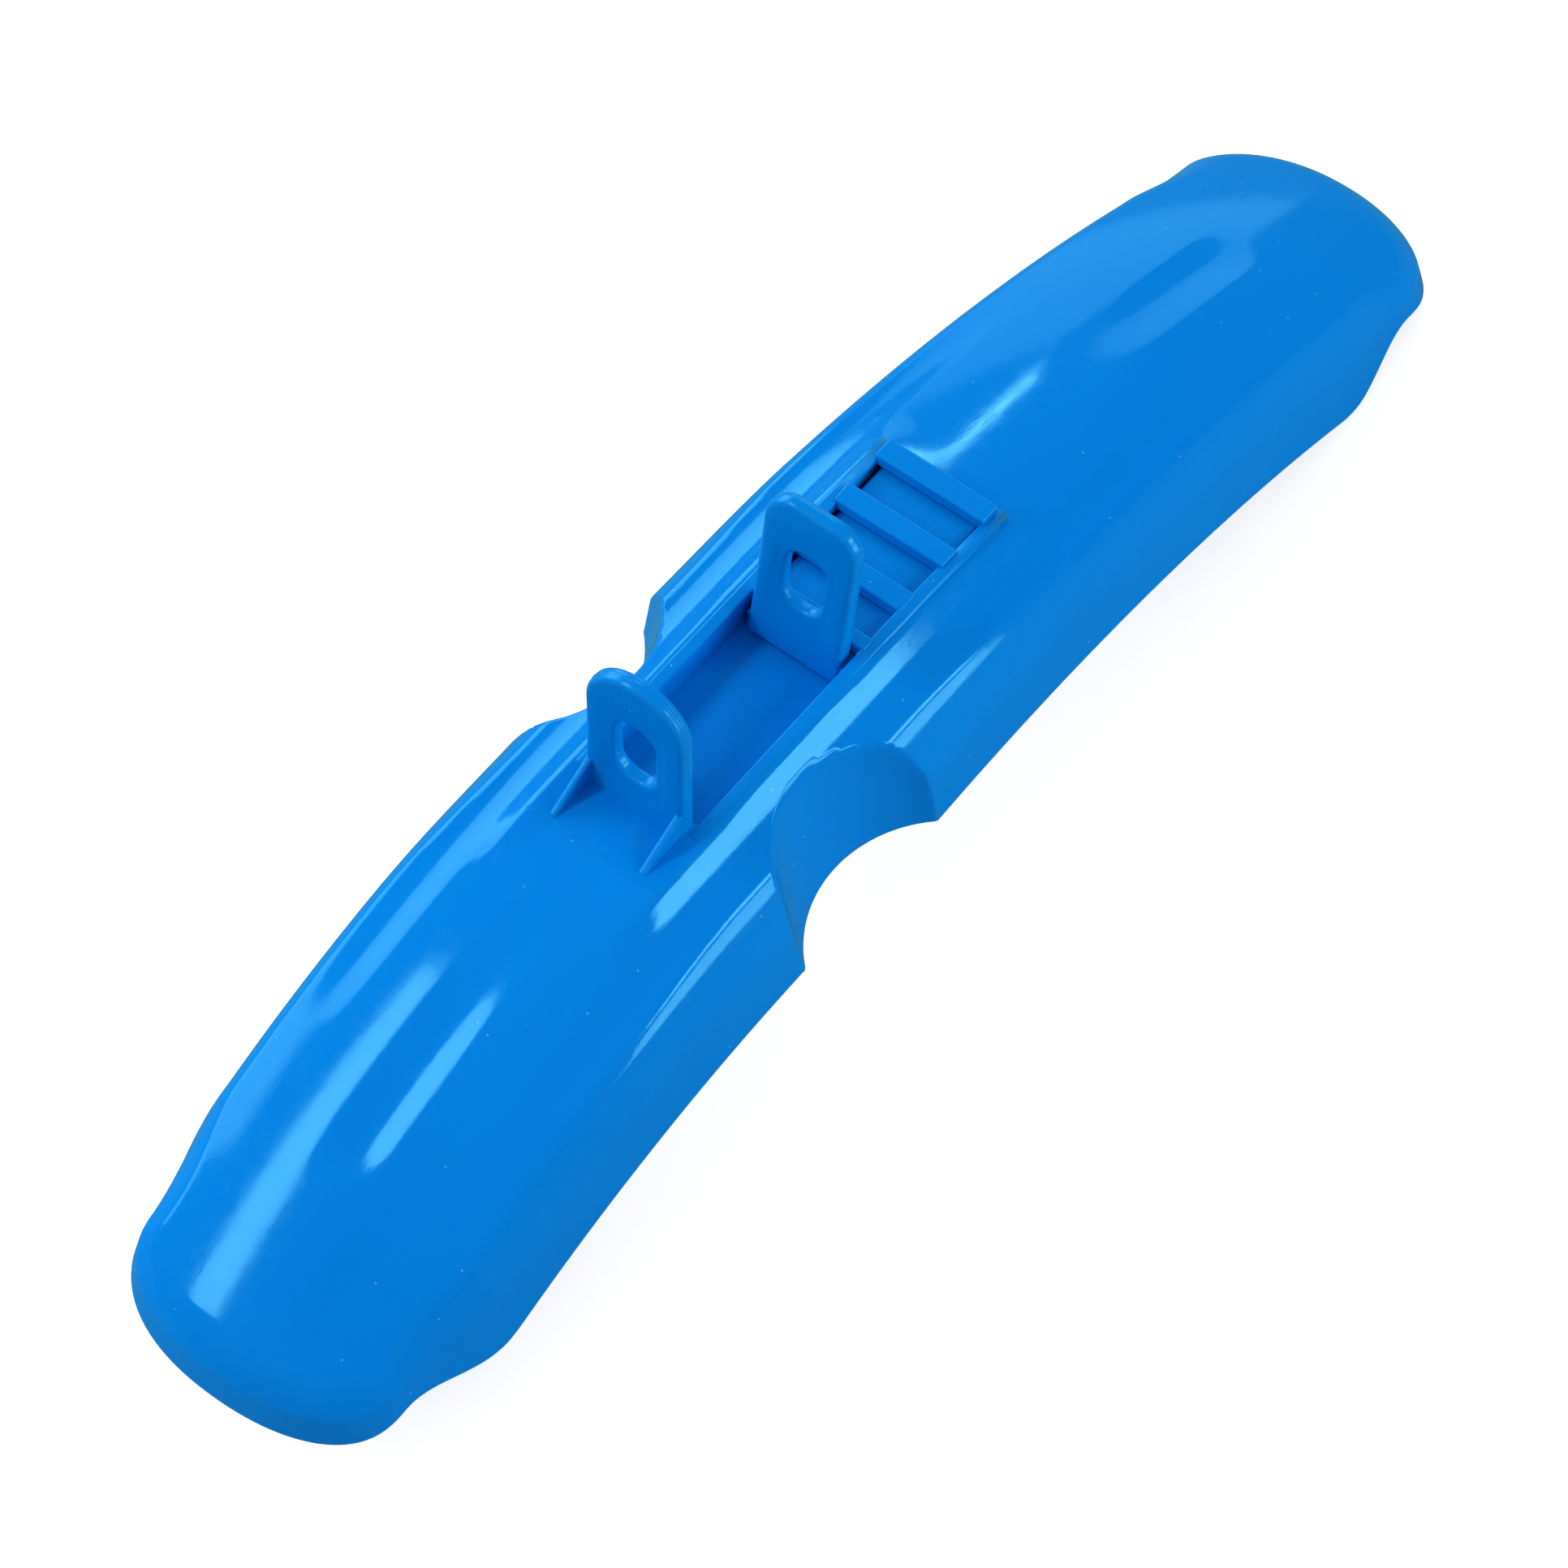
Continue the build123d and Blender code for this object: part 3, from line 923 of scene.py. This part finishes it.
def plastic(name, colour, deep_colour, roughness, grain):
    """Moulded plastic that lets a little light through, under a gloss tinted by the blue near its surface."""
    material = new_material(name)
    tree = material.node_tree
    where = tree.nodes.new("ShaderNodeTexCoord").outputs["Object"]
    rough = scratched_roughness(tree, where, roughness)
    normal = moulded_bump(tree, where, grain)

    body = tree.nodes["Principled BSDF"]
    tree.links.new(pigment(tree, where, colour, deep_colour), body.inputs["Base Color"])
    tree.links.new(normal, body.inputs["Normal"])
    body.inputs["Specular IOR Level"].default_value = 0.0
    body.inputs["Subsurface Weight"].default_value = 0.12
    body.inputs["Subsurface Radius"].default_value = (0.15, 0.6, 1.0)
    body.inputs["Subsurface Scale"].default_value = 0.003

    sources = {"Roughness": rough, "Normal": normal}
    gloss = add_node(tree, "ShaderNodeBsdfGlossy", {"Color": GLOSS_TINT}, sources)
    fresnel = add_node(tree, "ShaderNodeFresnel", {"IOR": GLOSS_IOR}, {"Normal": normal})
    sources = {"Fac": fresnel.outputs["Fac"], 1: body.outputs["BSDF"], 2: gloss.outputs["BSDF"]}
    blend = add_node(tree, "ShaderNodeMixShader", {}, sources)
    tree.links.new(blend.outputs["Shader"], tree.nodes["Material Output"].inputs["Surface"])
    return material


# ---------------------------------------------------------------- build

# Each is (name, colour, colour where the plastic looks deeper, roughness, share of fine grain)
shell_plastic = plastic("shell_plastic", (0.0, 0.2, 0.67), (0.0, 0.186, 0.64), 0.09, 0.6)
inner_plastic = plastic("channel_plastic", (0.0, 0.2, 0.66), (0.0, 0.185, 0.63), 0.22, 0.9)
lug_plastic = plastic("lug_plastic", (0.0, 0.205, 0.66), (0.0, 0.19, 0.62), 0.2, 0.9)


def belongs(piece, body, node, material):
    piece.data.materials.clear()
    piece.data.materials.append(material)
    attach(piece, body)
    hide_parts(node)


guard_smooth = [guard_skin()]
guard_matte = [guard_channel()]
guard_matte += [keeper_bar(number) for number in range(BAR_COUNT)]
guard_matte.append(lug("fixed_lug", place=place_fixed, **FIXED_LUG))
guard_matte.append(gusset("gusset_left", 1))
guard_matte.append(gusset("gusset_right", -1))
pad_line = [(PAD_FRONT, y) for y in np.linspace(-PAD_LINE_REACH, PAD_LINE_REACH, 40)]
guard_smooth.append(surface_strip("pad_line", pad_line, PAD_LINE_WIDTH, PAD_LINE_HEIGHT))

for piece in guard_smooth:
    belongs(piece, "guard", "guard_shell", shell_plastic)
for piece in guard_matte:
    belongs(piece, "guard", "guard_shell", inner_plastic)

slider = [lug("sliding_blade", place=place_sliding, **SLIDING_LUG), slider_tongue()]
for piece in slider:
    belongs(piece, "slider", "sliding_lug", lug_plastic)

# ---------------------------------------------------------------- stage, light and camera

FLOOR_REACH = 3.0
FLOOR_GLOW = 0.45


def stage_floor():
    """Pale flat sheet, level with the object's lowest point."""
    lowest = size_at_start[0].z
    mesh = bpy.data.meshes.new("floor")
    corners = [(FLOOR_REACH * x, FLOOR_REACH * y, lowest) for x, y in ((-1, -1), (1, -1), (1, 1), (-1, 1))]
    mesh.from_pydata(corners, [], [[0, 1, 2, 3]])
    floor = new_object("floor", mesh)
    material = new_material("floor_paper")
    tree = material.node_tree
    paper = tree.nodes["Principled BSDF"]
    paper.inputs["Roughness"].default_value = 0.9
    paper.inputs["Specular IOR Level"].default_value = 0.0
    paper.inputs["Emission Color"].default_value = (1, 1, 1, 1)
    # Seen directly the paper is white; it throws only a little light back on the plastic
    seen = tree.nodes.new("ShaderNodeLightPath").outputs["Is Camera Ray"]
    white = mix_colours(tree, seen)
    white.inputs[6].default_value = (0.3, 0.3, 0.3, 1)
    white.inputs[7].default_value = (0.93, 0.93, 0.93, 1)
    tree.links.new(white.outputs[2], paper.inputs["Base Color"])
    glow = remap(tree, seen, 0, 1, 0, FLOOR_GLOW)
    tree.links.new(glow, paper.inputs["Emission Strength"])
    mesh.materials.append(material)


def area_light(name, direction, aim, along, size, power, mirrored):
    """Soft light one metre from aim (millimetres) in a direction, its long side lying along another.

    Only a mirrored light shows in the gloss of the plastic."""
    light = bpy.data.lights.new(name, "AREA")
    light.shape = "RECTANGLE"
    light.size, light.size_y = size
    light.energy = power
    lamp = bpy.data.objects.new(name, light)
    back = Vector(direction).normalized()
    side = (Vector(along) - back * back.dot(Vector(along))).normalized()
    lamp.rotation_euler = Matrix((side, back.cross(side), back)).transposed().to_euler()
    lamp.location = Vector(aim) * MM + back
    lamp.visible_glossy = mirrored
    bpy.context.scene.collection.objects.link(lamp)


def studio_world():
    """Dim, slightly cool light from all round."""
    world = bpy.data.worlds.new("studio")
    world.use_nodes = True
    background = world.node_tree.nodes["Background"]
    background.inputs["Color"].default_value = (0.9, 0.95, 1.0, 1)
    background.inputs["Strength"].default_value = 0.22
    bpy.context.scene.world = world


stage_floor()
studio_world()

# Each is (name, direction, aim, along, size, power, mirrored)
area_light("front_strip", (0.33, -0.57, 0.75), (92, -8, -14), (0.94, 0, -0.34), (0.8, 0.19), 5.0, True)
area_light("side_strip", (-0.345, 0.68, 0.59), (0, 14, 0), (1, 0, 0), (0.41, 0.2), 3.1, True)
area_light("shoulder_glow", (-0.36, 0.88, 0.22), (0, 24, -5), (1, 0, 0), (0.41, 0.42), 4.2, True)
area_light("rear_glow", (-0.824, -0.541, 0.169), (-130, -10, -20), (0, 0, 1), (0.5, 0.6), 1.0, True)
area_light("rear_glint", (-0.723, -0.396, 0.565), (-82, -3, -6), (0.6, 0, 0.75), (0.28, 0.04), 0.6, True)
area_light("left_fill", (-0.15, -0.95, 0.35), (0, 0, -10), (1, 0, 0), (1.2, 0.5), 8.0, True)
area_light("right_fill", (0.3, 0.9, 0.35), (0, 0, -10), (1, 0, 0), (1.2, 0.6), 1.2, False)
area_light("front_fill", (0.9, -0.1, 0.4), (0, 0, -10), (0, 1, 0), (0.8, 0.6), 2.5, False)
area_light("overhead", (0.0, 0.0, 1.0), (0, 0, 0), (1, 0, 0), (0.7, 0.7), 0.5, False)

# The photo's camera: its direction and roll, its distance, its shift off the origin and the width it frames
AZIMUTH = math.radians(36.13)
ELEVATION = math.radians(57.05)
ROLL = math.radians(1.61)
DISTANCE = 1038.0
SHIFT_RIGHT = 11.72
SHIFT_UP = -9.49
FRAME_WIDTH = 246.838
SENSOR_WIDTH = 36.0


def photo_camera():
    level = math.cos(ELEVATION)
    towards = Vector((level * math.cos(AZIMUTH), level * math.sin(AZIMUTH), math.sin(ELEVATION)))
    right = Vector((-math.sin(AZIMUTH), math.cos(AZIMUTH), 0))
    up = towards.cross(right)
    rolled_right = right * math.cos(ROLL) + up * math.sin(ROLL)
    rolled_up = -right * math.sin(ROLL) + up * math.cos(ROLL)
    lens = bpy.data.cameras.new("camera")
    lens.sensor_width = SENSOR_WIDTH
    lens.lens = SENSOR_WIDTH * DISTANCE / FRAME_WIDTH
    camera = bpy.data.objects.new("camera", lens)
    camera.location = (towards * DISTANCE + right * SHIFT_RIGHT + up * SHIFT_UP) * MM
    camera.rotation_euler = Matrix((rolled_right, rolled_up, towards)).transposed().to_euler()
    bpy.context.scene.collection.objects.link(camera)
    bpy.context.scene.camera = camera


photo_camera()
bpy.context.scene.view_settings.view_transform = "Standard"
